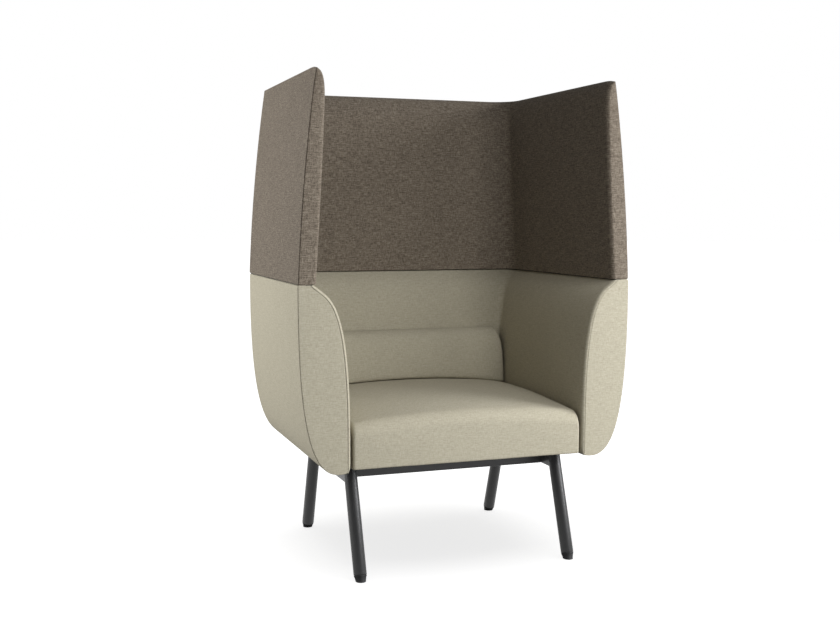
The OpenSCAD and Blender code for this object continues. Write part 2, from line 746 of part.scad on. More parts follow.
// Screen: boards in padded covers, with the back cover hollowed about the inner centres
board_top_z = ridge_low_z;
module board_section(grow) {
    intersection() {
        band(reversed(screen_outer), -board_in + grow, -board_in - board_t - grow);
        height_band(0, screen_z - grow, board_top_z + grow);
    }
}
module side_board(side) {
    color(ply) on_side(side) difference() {
        along_y(front_y + board_in, inner_cy) board_section(0);
        all_dowel_bores();
    }
}
module back_screen_board() {
    color(ply) difference() {
        round_back() board_section(0);
        all_dowel_bores();
    }
}
module screen_side(side) {
    color(fabric_dark) on_side(side) difference() {
        along_y(front_y, inner_cy) polygon(screen_leaf);
        along_y(front_y + board_in - fit_gap, inner_cy + over) board_section(fit_gap);
    }
}
// Everything between a centre line and the outer or the inner face of the screen
module screen_block(x0) {
    polygon(concat([[x0, screen_top_h]], screen_outer, [[x0, screen_z]]));
}
module screen_space(x0) {
    polygon(concat([[x0, screen_z - over]], [[rim_x, screen_z - over]], screen_inner, ridge_round,
        [[ridge_x - ridge_flat, screen_top_h + over], [x0, screen_top_h + over]]));
}
module back_screen_cover() {
    color(fabric_dark) difference() {
        round_back() screen_block(outer_cx);
        round_inner_back() screen_space(inner_cx);
        round_back() board_section(fit_gap);
    }
}

leg(-1, false);  // front_left_leg
leg(1, false);  // front_right_leg
leg(-1, true);  // rear_left_leg
leg(1, true);  // rear_right_leg
glide(-1, false);  // front_left_glide
glide(1, false);  // front_right_glide
glide(-1, true);  // rear_left_glide
glide(1, true);  // rear_right_glide
side_rail(-1);  // left_side_rail
side_rail(1);  // right_side_rail
cross_rail(cross_front_y);  // front_cross_rail
cross_rail(cross_rear_y);  // rear_cross_rail
corner_plates();
frame_bolts();
frame_washers();
frame_tee_nuts();
seat_board();
seat_box_front();
seat_box_rear();
seat_box_side(-1);  // seat_box_left
seat_box_side(1);  // seat_box_right
seat_webbing();
seat_foam();
seat_cushion();
lumbar_foam();
lumbar_cushion();
arm_panel(-1);  // left_arm_panel
arm_panel(1);  // right_arm_panel
arm_foam(-1);  // left_arm_foam
arm_foam(1);  // right_arm_foam
arm_foot_rail(-1);  // left_arm_foot_rail
arm_foot_rail(1);  // right_arm_foot_rail
arm_top_rail(-1);  // left_arm_top_rail
arm_top_rail(1);  // right_arm_top_rail
arm_cover(-1);  // left_arm_cover
arm_cover(1);  // right_arm_cover
arm_pad(-1);  // left_arm_pad
arm_pad(1);  // right_arm_pad
arm_front(-1);  // left_arm_front
arm_front(1);  // right_arm_front
back_panel();
back_foam();
back_foot_rail();
back_top_rail();
back_cover();
back_pad();
shell_spacers();
shell_bolts();
seam_strip();
screen_dowels();
side_board(-1);  // left_screen_board
side_board(1);  // right_screen_board
back_screen_board();
screen_side(-1);  // left_screen_cover
screen_side(1);  // right_screen_cover
back_screen_cover();
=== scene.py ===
import bpy
import bmesh
import math
from mathutils import Matrix, Vector
from mathutils.kdtree import KDTree


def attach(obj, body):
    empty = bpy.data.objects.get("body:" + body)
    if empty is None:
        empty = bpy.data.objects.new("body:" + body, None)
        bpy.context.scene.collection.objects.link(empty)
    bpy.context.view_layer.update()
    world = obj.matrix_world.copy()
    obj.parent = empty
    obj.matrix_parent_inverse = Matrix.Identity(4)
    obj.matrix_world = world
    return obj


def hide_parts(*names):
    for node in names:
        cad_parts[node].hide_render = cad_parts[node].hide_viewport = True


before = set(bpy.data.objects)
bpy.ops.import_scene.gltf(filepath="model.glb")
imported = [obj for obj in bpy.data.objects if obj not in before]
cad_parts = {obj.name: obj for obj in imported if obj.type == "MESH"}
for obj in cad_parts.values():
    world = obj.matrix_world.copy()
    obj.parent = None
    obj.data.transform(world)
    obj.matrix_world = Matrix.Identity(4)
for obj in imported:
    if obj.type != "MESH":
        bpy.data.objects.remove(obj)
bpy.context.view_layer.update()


# ---------------------------------------------------------------- studio
# The chair stands alone on a white studio floor that fades into a white background.
# Large soft lights stand round it, the strongest in front on the right.

def softbox(name, place, target, width, height, power, lit, tone=(1, 1, 1)):
    """A soft rectangular lamp at place that looks at target and lights what the collection says."""
    lamp = bpy.data.lights.new(name, "AREA")
    lamp.shape = "RECTANGLE"
    lamp.size, lamp.size_y = width, height
    lamp.energy, lamp.color = power, tone
    holder = bpy.data.objects.new(name, lamp)
    turned = (Vector(target) - Vector(place)).to_track_quat("-Z", "Y")
    holder.matrix_world = Matrix.Translation(place) @ turned.to_matrix().to_4x4()
    bpy.context.scene.collection.objects.link(holder)
    holder.light_linking.receiver_collection = lit


bm = bmesh.new()
bmesh.ops.create_circle(bm, cap_ends=True, segments=64, radius=40)
floor_mesh = bpy.data.meshes.new("studio_floor")
bm.to_mesh(floor_mesh)
bm.free()
floor = bpy.data.objects.new("studio_floor", floor_mesh)
bpy.context.scene.collection.objects.link(floor)


def linked(name, *left_out):
    """A collection for light linking: what is linked to it is lit, and what is left out isn't."""
    held = bpy.data.collections.new(name)
    for i, made in enumerate(left_out):
        held.objects.link(made)
        held.collection_objects[i].light_linking.link_state = "EXCLUDE"
    return held


floor_only, glow_lit = linked("floor_only"), linked("glow_lit")
floor_only.objects.link(floor)
floor.light_linking.receiver_collection = glow_lit  # the floor's glow reaches only the steel
not_floor = linked("not_floor", floor)
outer_lit = linked("outer_lit", floor)  # the screen's inside is left out of it too, where it is made
screen_lit = linked("screen_lit")  # only the screen's inside

DAYLIGHT, AMBIENT = (0.965, 0.975, 1.0), 0.22
softbox("key_front", (2.4, -3.6, 1.0), (0.0, 0.0, 0.6), 1.6, 1.6, 37, not_floor, DAYLIGHT)
softbox("key_side", (2.4, -1.5, 1.2), (0.2, 0.0, 0.7), 1.2, 1.6, 93, not_floor, DAYLIGHT)
softbox("left", (-2.4, 0.5, 1.2), (-0.3, 0.0, 0.7), 1.4, 1.6, 53, outer_lit)
softbox("top_front", (0.8, -3.4, 2.5), (0.1, 0.0, 0.5), 1.2, 1.2, 41, outer_lit)
softbox("top", (0.5, -2.4, 3.2), (0.1, 0.0, 0.5), 1.2, 1.6, 24, outer_lit)
softbox("screen_front", (0.7, -7.5, 0.9), (0.0, 0.0, 1.0), 2.4, 1.6, 250, screen_lit)
softbox("rear", (0.8, 3.8, 2.4), (0.0, 0.0, 0.6), 2.6, 2.0, 75, outer_lit)
softbox("floor_top", (0.25, 0.0, 3.2), (0.1, 0.0, 0.0), 4.0, 4.0, 40, floor_only)

world = bpy.data.worlds.new("studio")
bpy.context.scene.world = world
world.use_nodes = True
sky = world.node_tree
ambient = sky.nodes["Background"]
ambient.inputs["Color"].default_value = (1, 1, 1, 1)
ambient.inputs["Strength"].default_value = AMBIENT
white = sky.nodes.new("ShaderNodeBackground")
white.inputs["Color"].default_value = (1, 1, 1, 1)
white.inputs["Strength"].default_value = 1.0
seen = sky.nodes.new("ShaderNodeLightPath")
choice = sky.nodes.new("ShaderNodeMixShader")
sky.links.new(seen.outputs["Is Camera Ray"], choice.inputs[0])
sky.links.new(ambient.outputs[0], choice.inputs[1])
sky.links.new(white.outputs[0], choice.inputs[2])
sky.links.new(choice.outputs[0], sky.nodes["World Output"].inputs[0])

view_settings = bpy.context.scene.view_settings
view_settings.view_transform = "Standard"
view_settings.look = "None"

# The floor glows white, and a little less within a step of the chair's middle: painted shadow under the
# chair.
GLOW_SPAN, GLOW_NEAR, GLOW_FAR, PAINTED_SHADOW_GLOW = 2.0, 0.24, 1.0, 0.745
floor_paint = bpy.data.materials.new("studio_floor")
floor_paint.use_nodes = True
nodes, links = floor_paint.node_tree.nodes, floor_paint.node_tree.links
paint = nodes["Principled BSDF"]
paint.inputs["Base Color"].default_value = (0.8, 0.8, 0.8, 1)
paint.inputs["Roughness"].default_value = 0.9
paint.inputs["Specular IOR Level"].default_value = 0.0
paint.inputs["Emission Strength"].default_value = 1.0
glow = nodes.new("ShaderNodeValToRGB")
# The dimmer stop near the chair is the painted shadow; the far stop is plain white.
for stop, distance, grey in zip(glow.color_ramp.elements, (GLOW_NEAR, GLOW_FAR), (PAINTED_SHADOW_GLOW, 1.0)):
    stop.position, stop.color = distance / GLOW_SPAN, (grey, grey, grey, 1)
shrunk, radius = nodes.new("ShaderNodeVectorMath"), nodes.new("ShaderNodeVectorMath")
shrunk.operation, radius.operation = "SCALE", "LENGTH"
shrunk.inputs["Scale"].default_value = 1 / GLOW_SPAN
links.new(nodes.new("ShaderNodeTexCoord").outputs["Object"], shrunk.inputs[0])
links.new(shrunk.outputs["Vector"], radius.inputs[0])
links.new(radius.outputs["Value"], glow.inputs["Fac"])
links.new(glow.outputs["Color"], paint.inputs["Emission Color"])
floor_mesh.materials.append(floor_paint)

# The camera's place, turn and lens were solved from the picture's own lines.
CAMERA_SPOT, FOCAL_LENGTH = (-1.1054, -3.0278, 0.9188), 48.775
TURN, TILT, ROLL = 0.3469, 0.0868, 0.0023
lens = bpy.data.cameras.new("camera")
lens.lens = FOCAL_LENGTH
lens.sensor_width = 36
lens.sensor_fit = "HORIZONTAL"
camera = bpy.data.objects.new("camera", lens)
bpy.context.scene.collection.objects.link(camera)
ahead = Vector((math.sin(TURN) * math.cos(TILT), math.cos(TURN) * math.cos(TILT), -math.sin(TILT)))
level = Vector((math.cos(TURN), -math.sin(TURN), 0))
upright = level.cross(ahead)
rightward = math.cos(ROLL) * level + math.sin(ROLL) * upright
upward = math.cos(ROLL) * upright - math.sin(ROLL) * level
facing = Matrix((rightward, upward, -ahead)).transposed().to_4x4()
camera.matrix_world = Matrix.Translation(CAMERA_SPOT) @ facing
bpy.context.scene.camera = camera


# ---------------------------------------------------------------- legs
# Four round steel tubes, 33.7 mm across, cut level at both ends and welded to the side rails.
# The whole frame is powder coated in a satin near-black.

class Wire:
    """A shader socket that adds its Math nodes when it is used in a sum."""

    def __init__(self, tree, out):
        self.tree, self.out = tree, out

    def node(self, kind, values=None, out=0, stops=(), **settings):
        """The output numbered out of a new node; its inputs, values, are numbers or Wires."""
        made = self.tree.nodes.new(kind)
        for name, value in settings.items():
            setattr(made, name, value)
        if stops:
            ramp = made.color_ramp.elements
            while len(ramp) < len(stops):
                ramp.new(0.5)
            for element, (place, colour) in zip(ramp, stops):
                element.position, element.color = place, (*colour, 1)
        for name, value in (values or {}).items():
            if isinstance(value, Wire):
                self.tree.links.new(value.out, made.inputs[name])
            else:
                made.inputs[name].default_value = value
        return Wire(self.tree, made.outputs[out])

    def sum(self, kind, a, b=0.0, c=0.0):
        return self.node("ShaderNodeMath", {0: a, 1: b, 2: c}, operation=kind)

    def __add__(self, b): return self.sum("ADD", self, b)
    def __radd__(self, b): return self.sum("ADD", b, self)
    def __sub__(self, b): return self.sum("SUBTRACT", self, b)
    def __rsub__(self, b): return self.sum("SUBTRACT", b, self)
    def __mul__(self, b): return self.sum("MULTIPLY", self, b)
    def __rmul__(self, b): return self.sum("MULTIPLY", b, self)
    def __truediv__(self, b): return self.sum("DIVIDE", self, b)
    def __pow__(self, b): return self.sum("POWER", self, b)
    def floor(self): return self.sum("FLOOR", self)
    def part(self): return self.sum("FRACT", self)
    def sine(self): return self.sum("SINE", self)
    def odd(self): return self.sum("MODULO", self.sum("ABSOLUTE", self), 2.0)
    def mix(self, a, b): return a + (b - a) * self

    def axes(self):
        """The x, y and z of a place."""
        split = self.node("ShaderNodeSeparateXYZ", {0: self})
        return [Wire(self.tree, out) for out in split.out.node.outputs]

    def place(self, x, y, z=0.0):
        return self.node("ShaderNodeCombineXYZ", {0: x, 1: y, 2: z})

    def noise(self, scale=1.0, detail=2.0, rough=0.5):
        """The noise at a place, about 0.5 on average."""
        return self.node("ShaderNodeTexNoise",
                         {"Vector": self, "Scale": scale, "Detail": detail, "Roughness": rough})

    def colour(self, stops):
        return self.node("ShaderNodeValToRGB", {0: self}, stops=stops)


def finish_of(name, **constants):
    """A new material, its shader with constants set, and its object coordinates as a Wire."""
    material = bpy.data.materials.new(name)
    material.use_nodes = True
    shader = material.node_tree.nodes["Principled BSDF"]
    for key, value in constants.items():
        shader.inputs[key.replace("_", " ")].default_value = value
    start = Wire(material.node_tree, None)
    return material, shader, start.node("ShaderNodeTexCoord", out=3)


def into(shader, **wires):
    """Links wires to the shader's inputs."""
    for key, wire in wires.items():
        wire.tree.links.new(wire.out, shader.inputs[key.replace("_", " ")])


def relief(height, depth, strength=1.0):
    """A Bump node's normal from a height in the range 0 to 1 and its depth in metres."""
    return height.node("ShaderNodeBump", {"Strength": strength, "Distance": depth, "Height": height})


def powder_coat():
    material, shader, spot = finish_of("powder_coat", Specular_IOR_Level=0.36)
    peel = spot.noise(900, 3)
    cloud = spot.noise(9, 3)
    speck = spot.noise(2600, 1)
    dark, light = (0.011, 0.011, 0.0113), (0.017, 0.017, 0.0175)
    into(shader,
         Base_Color=(cloud * 0.7 + speck * 0.3).colour([(0.3, dark), (0.7, light)]),
         Roughness=0.30 + cloud * 0.12,
         Normal=relief(peel, 0.00012))
    return material


coat = powder_coat()
SHARP = math.radians(40)


def piece(name, bm, material):
    """A finished bmesh as a smooth object of its own at the origin."""
    mesh = bpy.data.meshes.new(name)
    bm.normal_update()
    bm.to_mesh(mesh)
    bm.free()
    mesh.materials.append(material)
    for face in mesh.polygons:
        face.use_smooth = True
    made = bpy.data.objects.new(name, mesh)
    bpy.context.scene.collection.objects.link(made)
    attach(made, "root")
    if material == coat:
        glow_lit.objects.link(made)
    return made


def hard_edges(made):
    """Keeps the sharp edges of a smooth piece crisp."""
    mesh = made.data
    work = bmesh.new()
    work.from_mesh(mesh)
    for edge in work.edges:
        if len(edge.link_faces) == 2 and edge.calc_face_angle() > SHARP:
            edge.smooth = False
    work.to_mesh(mesh)
    work.free()


LEG_R, SPLAY, LEG_EDGE, LEG_SPARE = 0.01685, math.radians(19.4), 0.0008, 1.12
FOOT_X, FOOT_FRONT, FOOT_REAR = 0.2915, -0.342, 0.201
GLIDE_H, FRAME_Z = 0.016, 0.2835
SIDES = (("left", -1), ("right", 1))
CORNERS = [(f"{end}_{word}", side, end == "rear") for end in ("front", "rear") for word, side in SIDES]


def along_leg(bm, side, rear):
    """Turns and moves a piece made upright at the origin onto a leg's axis."""
    lean = SPLAY if rear else -SPLAY
    spot = (side * FOOT_X, FOOT_REAR if rear else FOOT_FRONT, 0)
    bmesh.ops.transform(bm, matrix=Matrix.Translation(spot) @ Matrix.Rotation(lean, 4, "X"), verts=bm.verts)


def tube(bm, radius, z0, z1, edge):
    """A round bar with its end edges broken."""
    bmesh.ops.create_cone(bm, cap_ends=True, segments=48, radius1=radius, radius2=radius, depth=z1 - z0,
                          matrix=Matrix.Translation((0, 0, (z0 + z1) / 2)))
    rims = [e for e in bm.edges if len({round(v.co.z, 6) for v in e.verts}) == 1]
    bmesh.ops.bevel(bm, geom=rims, offset=edge, segments=2, profile=0.5, affect="EDGES", material=-1)


def cut_level(bm, z, way):
    """Cuts off what lies past a level plane, above it if way is 1 and below it if way is -1."""
    cut = bmesh.ops.bisect_plane(bm, geom=bm.verts[:] + bm.edges[:] + bm.faces[:], plane_co=(0, 0, z),
                                 plane_no=(0, 0, way), clear_outer=True)
    bmesh.ops.holes_fill(bm, edges=[g for g in cut["geom_cut"] if isinstance(g, bmesh.types.BMEdge)])


for words, side, rear in CORNERS:
    bm = bmesh.new()
    tube(bm, LEG_R, GLIDE_H, FRAME_Z * LEG_SPARE, LEG_EDGE)
    along_leg(bm, side, rear)
    cut_level(bm, FRAME_Z, 1)
    leg = piece(f"{words}_leg_tube", bm, coat)
    hard_edges(leg)
    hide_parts(f"{words}_leg")


# ---------------------------------------------------------------- glides
# Black moulded plugs, pressed into the tubes, with a short taper and a rounded foot.
# They stand flat on the floor, so their feet are cut level.

def moulded_black():
    material, shader, spot = finish_of("moulded_black", Specular_IOR_Level=0.4)
    grain = spot.noise(1400, 2)
    scuff = spot.noise(60, 4, 0.7)
    into(shader,
         Base_Color=scuff.colour([(0.35, (0.012, 0.012, 0.012)), (0.75, (0.024, 0.024, 0.025))]),
         Roughness=0.5 + scuff * 0.2,
         Normal=relief(grain, 0.00006))
    return material


black = moulded_black()
GLIDE_PROFILE = [  # (radius, height along the leg) from below the foot to inside the tube
    (0.0, -0.012), (0.0118, -0.012), (0.013, -0.0108), (0.013, 0.0), (0.0148, 0.0095), (0.0158, 0.0118),
    (0.0164, 0.0132), (0.01640, 0.0152), (0.0150, 0.0158), (0.01485, 0.040), (0.0, 0.040)]
for words, side, rear in CORNERS:
    bm = bmesh.new()
    line = [bm.verts.new((r, 0, z)) for r, z in GLIDE_PROFILE]
    edges = [bm.edges.new(pair) for pair in zip(line, line[1:])]
    bmesh.ops.spin(bm, geom=line + edges, axis=(0, 0, 1), angle=math.tau, steps=40, use_merge=True)
    bmesh.ops.remove_doubles(bm, verts=bm.verts, dist=1e-6)
    along_leg(bm, side, rear)
    cut_level(bm, 0, -1)
    bmesh.ops.recalc_face_normals(bm, faces=bm.faces)
    glide = piece(f"{words}_foot_glide", bm, black)
    hard_edges(glide)
    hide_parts(f"{words}_glide")


# ---------------------------------------------------------------- rails
# Rectangular steel tubes, 50 x 30 mm, with the round corners of drawn tube.
# The side rails run into the legs and lean at their ends as they do; the cross rails butt against them.

RAIL_H, RAIL_W, RAIL_R, CROSS_IN = 0.050, 0.030, 0.003, 0.051
RAIL_MID = FRAME_Z - RAIL_H / 2
LEAN = math.tan(SPLAY)


def leg_y(rear, z):
    """Where a leg's axis is at a height."""
    return FOOT_REAR - z * LEAN if rear else FOOT_FRONT + z * LEAN


def block(bm, low, high, axis):
    """A box from low to high with its edges along one axis rounded."""
    middle = [(a + b) / 2 for a, b in zip(low, high)]
    size = Matrix.Diagonal([b - a for a, b in zip(low, high)] + [1])
    bmesh.ops.create_cube(bm, size=1, matrix=Matrix.Translation(middle) @ size)
    along = [e for e in bm.edges if abs((e.verts[0].co - e.verts[1].co)[axis]) > 1e-6]
    bmesh.ops.bevel(bm, geom=along, offset=RAIL_R, segments=3, profile=0.5, affect="EDGES", material=-1)


front_y, rear_y = leg_y(False, RAIL_MID), leg_y(True, RAIL_MID)
for word, side in SIDES:
    bm = bmesh.new()
    x = side * FOOT_X
    block(bm, (x - RAIL_W / 2, front_y, RAIL_MID - RAIL_H / 2), (x + RAIL_W / 2, rear_y, FRAME_Z), 1)
    for vert in bm.verts:
        rise = (vert.co.z - RAIL_MID) * LEAN
        vert.co.y += rise if vert.co.y < (front_y + rear_y) / 2 else -rise
    rail = piece(f"{word}_side_tube", bm, coat)
    hard_edges(rail)
    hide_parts(f"{word}_side_rail")

half = FOOT_X - RAIL_W / 2
for end, y in (("front", front_y + CROSS_IN), ("rear", rear_y - CROSS_IN - RAIL_W)):
    bm = bmesh.new()
    block(bm, (-half, y, FRAME_Z - RAIL_H), (half, y + RAIL_W, FRAME_Z), 0)
    rail = piece(f"{end}_cross_tube", bm, coat)
    hard_edges(rail)
    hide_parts(f"{end}_cross_rail")


def finish_nodes(material, *names):
    """Gives CAD nodes a material through their slots."""
    for name in names:
        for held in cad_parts[name].material_slots:
            held.material = material


finish_nodes(coat, "corner_plates")


# ---------------------------------------------------------------- fixings
# Zinc plated bolts, washers, tee nuts and dowels, as they come from the box.

def zinc_plate():
    material, shader, spot = finish_of("zinc_plate", Metallic=1.0)
    spangle = spot.noise(420, 4, 0.6)
    film = spot.noise(60, 3)
    dark, light = (0.42, 0.43, 0.45), (0.66, 0.67, 0.68)
    into(shader,
         Base_Color=(spangle * 0.5 + film * 0.5).colour([(0.3, dark), (0.7, light)]),
         Roughness=0.28 + spangle * 0.2,
         Normal=relief(spangle, 0.00004))
    return material


finish_nodes(zinc_plate(), "frame_bolts", "frame_washers", "frame_tee_nuts", "shell_bolts", "shell_spacers",
             "screen_dowels")


# ---------------------------------------------------------------- boards
# Birch plywood seat board, shell and screen panels, and sawn softwood rails.
# Ply shows its layers at every edge; the rails show straight grain.

def plywood():
    material, shader, spot = finish_of("birch_plywood", Specular_IOR_Level=0.3)
    x, y, z = spot.axes()
    grain = spot.place(x * 6.0, y * 160.0, z * 6.0).noise(detail=4, rough=0.6)
    layer = ((z * 0.9 + x * 0.2) * 2200.0).sine() * 0.5 + 0.5
    pore = spot.place(x * 60.0, y * 1400.0, z * 60.0).noise()
    dark, light = (0.50, 0.34, 0.18), (0.76, 0.60, 0.40)
    into(shader,
         Base_Color=(grain * 0.7 + pore * 0.2 + layer * 0.1).colour([(0.3, dark), (0.7, light)]),
         Roughness=0.55 + grain * 0.2,
         Normal=relief(pore, 0.00008))
    return material


def softwood():
    material, shader, spot = finish_of("sawn_softwood", Specular_IOR_Level=0.3)
    x, y, z = spot.axes()
    drift = spot.noise(5)
    ring = ((z + x * 0.3 + drift * 0.03) * 900.0).sine() * 0.5 + 0.5
    fuzz = spot.place(x * 300.0, y * 30.0, z * 300.0).noise(detail=3)
    dark, light = (0.55, 0.36, 0.18), (0.80, 0.62, 0.38)
    into(shader,
         Base_Color=(ring * 0.55 + fuzz * 0.45).colour([(0.2, dark), (0.8, light)]),
         Roughness=0.6 + fuzz * 0.25,
         Normal=relief(ring * 0.5 + fuzz * 0.5, 0.0002))
    return material


finish_nodes(plywood(), "seat_board", "left_arm_panel", "right_arm_panel", "back_panel",
             "left_screen_board", "right_screen_board", "back_screen_board")
finish_nodes(softwood(), "seat_box_front", "seat_box_rear", "seat_box_left", "seat_box_right",
             "left_arm_foot_rail", "right_arm_foot_rail", "back_foot_rail",
             "left_arm_top_rail", "right_arm_top_rail", "back_top_rail")


# ---------------------------------------------------------------- foam and webbing
# Open-cell foam cores inside the covers, and the elastic straps that carry the seat.

def open_foam():
    material, shader, spot = finish_of("open_foam", Specular_IOR_Level=0.2)
    cells = spot.node("ShaderNodeTexVoronoi", {"Vector": spot, "Scale": 900.0})
    tint = spot.noise(14, 3)
    dark, light = (0.50, 0.50, 0.48), (0.76, 0.75, 0.70)
    into(shader,
         Base_Color=(cells * 0.6 + tint * 0.4).colour([(0.2, dark), (0.7, light)]),
         Roughness=0.85 + cells * 0.1,
         Normal=relief(cells, 0.0004))
    return material


def strap_web():
    material, shader, spot = finish_of("strap_web", Specular_IOR_Level=0.25)
    x, y, _ = spot.axes()
    rib = (x * 2600.0).sine() * 0.5 + 0.5
    cross = (y * 1900.0).sine() * 0.5 + 0.5
    into(shader,
         Base_Color=(rib * cross).colour([(0.0, (0.03, 0.03, 0.03)), (1.0, (0.12, 0.12, 0.12))]),
         Roughness=0.7 + rib * 0.2,
         Normal=relief(rib * cross, 0.0003))
    return material


finish_nodes(open_foam(), "seat_foam", "lumbar_foam", "left_arm_foam", "right_arm_foam", "back_foam")
finish_nodes(strap_web(), "seat_webbing")
finish_nodes(black, "seam_strip")


# ---------------------------------------------------------------- shell cover outside
# The greige cloth of the shell's outside, one length from arm to arm round the back.
# It is drawn over thin foam, sewn to the front panels and turned under along the keel.

def cubic(a, b, c, d, n=160):
    """Points of a cubic curve, both ends included."""
    out = []
    for i in range(n + 1):
        t = i / n
        s = 1 - t
        near = Vector(a) * s**3 + Vector(b) * 3 * s * s * t
        out.append(near + Vector(c) * 3 * s * t * t + Vector(d) * t**3)
    return out


def quadratic(a, b, c, n=160):
    """Points of a quadratic curve, both ends included."""
    return cubic(a, Vector(a).lerp(b, 2 / 3), Vector(c).lerp(b, 2 / 3), c, n)


def lengths(line):
    """Distance of each point from the first, along the line."""
    out = [0.0]
    for a, b in zip(line, line[1:]):
        out.append(out[-1] + (b - a).length)
    return out


def at(line, run, s):
    """Point and direction of a line at distance s along it."""
    s = min(max(s, 0.0), run[-1])
    i = 1
    while i < len(run) - 1 and run[i] < s:
        i += 1
    a, b = line[i - 1], line[i]
    span = max(run[i] - run[i - 1], 1e-9)
    return a.lerp(b, (s - run[i - 1]) / span), (b - a).normalized()


ROW_STEP, ARM_STEP, CORNER_STEPS = 0.014, 0.02, 14  # between rows, between stations, stations at a corner
ROLL_MOST, WADDING = 0.0085, 0.0025
ROLLED = [math.radians(a) for a in (0, 22.5, 45, 67.5, 90)]


class Row:
    """One point of a section line: its spot, the way into the upholstery there, and its distance s
    along the line. share says which corner centre it turns round, 0 for inner and 1 for CENTRE_OUT.
    At the front it goes a reach along way, and rolls over on the first part of that."""

    def __init__(self, spot, into, s, share, inner, flare, inset, sink, wrap, roll_share):
        self.spot, self.into, self.s, self.share, self.inner = spot, into, s, share, inner
        self.flare, self.inset, self.sink = flare, inset, Vector(sink)
        self.way, self.reach = wrap
        self.roll = min(ROLL_MOST, self.reach * roll_share)


def rows_of(line, hand, share, first, last, flare=0.0, wrap=None, inner=None, roll_share=0.5):
    """Rows of a section line. hand says on which side the upholstery lies; first and last roll
    each end over: (radius, how far it is turned in, where it is tucked)."""
    run = lengths(line)
    total = run[-1]

    def row(s, inset=0.0, sink=(0, 0)):
        spot, way = at(line, run, s)
        into = Vector((way.y, -way.x)) * hand
        return Row(spot, into, s, share(spot), inner(spot) if inner else CENTRE_IN, flare, inset - SWELL,
                   sink, wrap(spot, into) if wrap else (into, 0.0), roll_share)

    def end(radius, deep, sink, place):
        hidden = row(place(0), max(deep, radius), sink)
        if deep == JOINT_IN:  # in the joint, cloth from inside and outside meets half way
            hidden.share = 0.5
        rolled = [row(place(radius * (1 - math.cos(a))), radius * (1 - math.sin(a))) for a in ROLLED]
        return [hidden] + rolled

    count = max(int((total - first[0] - last[0]) / ROW_STEP), 2)
    span = (total - first[0] - last[0]) / count
    middle = [row(first[0] + span * i) for i in range(1, count)]
    return end(*first, lambda s: s) + middle + end(*last, lambda s: total - s)[::-1]


def placed(row, station):
    """Where a section's point lies at a station of the path from arm to arm."""
    kind, side, value = station
    if kind == "front":
        off, deep, turn = value(row)
        spot = row.spot + row.way * off + row.into * row.inset * math.cos(turn) + row.sink
        return Vector((side * (spot.x + row.flare), FRONT_Y + deep + row.inset * math.sin(turn), spot.y))
    centre = row.inner.lerp(CENTRE_OUT, row.share)
    spot = row.spot + row.into * row.inset + row.sink
    out = spot.x - centre.x
    if kind == "arm":
        gone = (value - FRONT_Y) / (CENTRE_OUT.y - FRONT_Y)
        y = value if value < 0 else value * centre.y / CENTRE_OUT.y
        return Vector((side * (spot.x + row.flare * (1 - 2 * gone)), y, spot.y))
    if kind == "corner":
        x = centre.x + (out - row.flare) * math.cos(value)
        return Vector((side * x, centre.y + out * math.sin(value), spot.y))
    return Vector((value * centre.x, centre.y + out, spot.y))


def path(front, gap):
    """Stations from the right arm's front round the back to the left arm's front. Those along the
    arm start a gap behind the front plane."""
    side, first_y = [("front", 1, f) for f in front], FRONT_Y + gap
    n = int((CENTRE_OUT.y - first_y) / ARM_STEP)
    side += [("arm", 1, first_y + (CENTRE_OUT.y - first_y) * i / n) for i in range(n + 1)]
    side += [("corner", 1, math.radians(90 * i / CORNER_STEPS)) for i in range(1, CORNER_STEPS + 1)]
    other = [(kind, -1, value) for kind, _, value in reversed(side)]
    m = int(2 * CENTRE_OUT.x / ARM_STEP)
    return side + [("back", 0, 1 - 2 * i / m) for i in range(1, m)] + other


def extruded(bm, edges):
    """Extrudes edges, and gives the new points and the new far edges."""
    made = bmesh.ops.extrude_edge_only(bm, edges=edges)["geom"]
    kinds = (bmesh.types.BMVert, bmesh.types.BMEdge)
    return [[part for part in made if isinstance(part, kind)] for kind in kinds]


def swept(rows, stations, outwards=True):
    """Extrudes a line of rows through the stations and lays the cloth's own coordinates on the faces."""
    bm = bmesh.new()
    index = bm.verts.layers.int.new("row")
    run = bm.verts.layers.float.new("run")
    line = []
    for i, row in enumerate(rows):
        vert = bm.verts.new(placed(row, stations[0]))
        vert[index] = i
        line.append(vert)
    edges = [bm.edges.new(pair) for pair in zip(line, line[1:])]
    middle = rows[len(rows) // 2]
    travelled, last = 0.0, placed(middle, stations[0])
    for station in stations[1:]:
        here = placed(middle, station)
        travelled += (here - last).length
        last = here
        verts, edges = extruded(bm, edges)
        for vert in verts:
            vert.co = placed(rows[vert[index]], station)
            vert[run] = travelled
    bmesh.ops.recalc_face_normals(bm, faces=bm.faces)
    tally = 0.0
    for face in bm.faces:
        tally += face.normal.dot(face.calc_center_median() * Vector((1, 1, 0))) * face.calc_area()
    if (tally > 0) != outwards:
        bmesh.ops.reverse_faces(bm, faces=bm.faces)
    weave = bm.loops.layers.uv.new("cloth")
    for face in bm.faces:
        for loop in face.loops:
            loop[weave].uv = (loop.vert[run], -rows[loop.vert[index]].s)
    return bm


def tailor(name, bm, material):
    """A cover: cloth with its wadding, drawn smooth."""
    made = piece(name, bm, material)
    wall = made.modifiers.new("wadding", "SOLIDIFY")
    wall.thickness = WADDING
    wall.offset = -1
    wall.thickness_clamp = 1.0
    round_off = made.modifiers.new("smooth", "SUBSURF")
    round_off.levels = round_off.render_levels = 1
    return made


